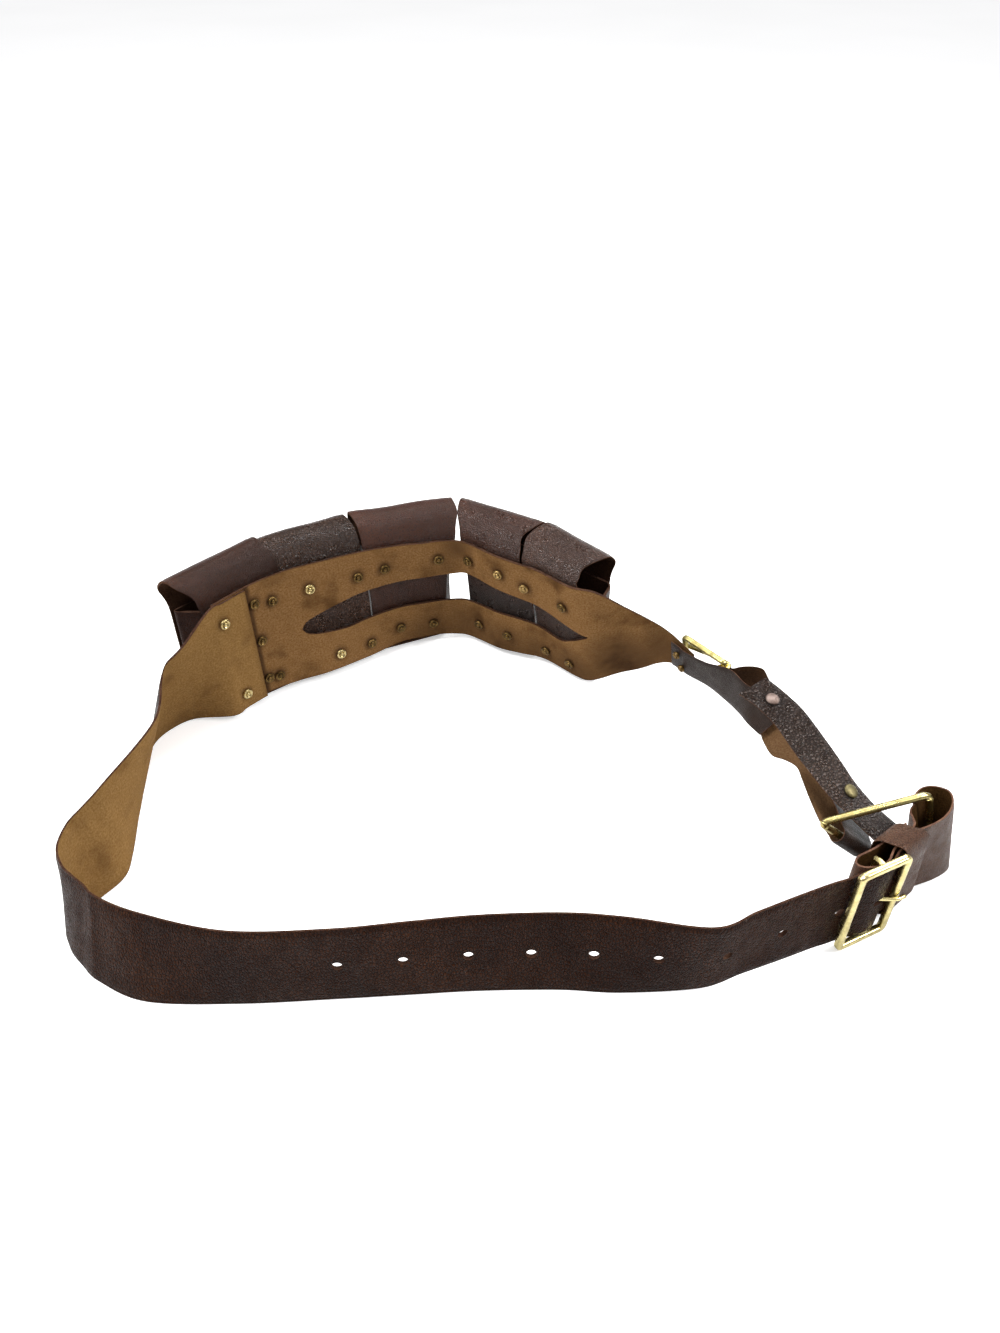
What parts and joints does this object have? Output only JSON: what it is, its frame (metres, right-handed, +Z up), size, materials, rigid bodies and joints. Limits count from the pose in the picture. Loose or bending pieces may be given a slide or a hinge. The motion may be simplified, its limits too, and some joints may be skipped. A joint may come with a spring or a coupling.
{
  "type": "leather utility belt with pouches",
  "caption": "Wide buckled leather waist belt with riveted lidded pouches along a slotted back panel, joined through narrow side straps and a metal ring.",
  "frame": {"origin": "middle of the belt's box, at the level of the floor it lies on", "axes": "+X along the length of the loop towards the front buckle's end, +Y towards the pouches, +Z up"},
  "size_m": [0.4418, 0.2966, 0.1004],
  "materials": {
    "strap_leather": "dark purplish brown grain, slightly glossy, with a tan suede inner side",
    "panel_leather": "pinkish tan suede inner side, dark glossy outer side",
    "narrow_leather": "grey-brown smooth grain with tan flesh side",
    "pouch_leather": "dark brown, glossy, finely pebbled",
    "brass": "worn yellow brass",
    "pale_metal": "worn pale metal"
  },
  "bodies": {
    "root": {"front_strap": "strap_leather", "loop_strap": "strap_leather", "keeper": "strap_leather", "slotted_panel": "panel_leather", "tip_strap": "narrow_leather", "ring_strap": "narrow_leather", "stud_strap": "narrow_leather", "pouch_flap_1": "pouch_leather", "pouch_flap_2": "pouch_leather", "pouch_flap_3": "pouch_leather", "pouch_flap_4": "pouch_leather", "pouch_flap_5": "pouch_leather", "pouch_body_1": "pouch_leather", "pouch_body_2": "pouch_leather", "pouch_body_3": "pouch_leather", "pouch_body_4": "pouch_leather", "pouch_body_5": "pouch_leather", "front_buckle": "brass", "front_tongue": "brass", "side_buckle": "brass", "side_tongue": "brass", "ring": "brass", "strap_stud_1": "pale_metal", "strap_stud_2": "pale_metal", "pouch_stud_1": "brass", "pouch_stud_2": "brass", "pouch_stud_3": "brass", "pouch_stud_4": "brass", "pouch_stud_5": "brass", "rivet_01": "brass", "rivet_02": "brass", "rivet_03": "brass", "rivet_04": "brass", "rivet_05": "brass", "rivet_06": "brass", "rivet_07": "brass", "rivet_08": "brass", "rivet_09": "brass", "rivet_10": "brass", "rivet_11": "brass", "rivet_12": "brass", "rivet_13": "brass", "rivet_14": "brass", "rivet_15": "brass", "rivet_16": "brass", "rivet_17": "brass", "rivet_18": "brass", "rivet_19": "brass", "rivet_20": "brass", "rivet_21": "brass", "rivet_22": "brass", "rivet_23": "brass", "rivet_24": "brass", "rivet_25": "brass"}
  },
  "joints": []
}
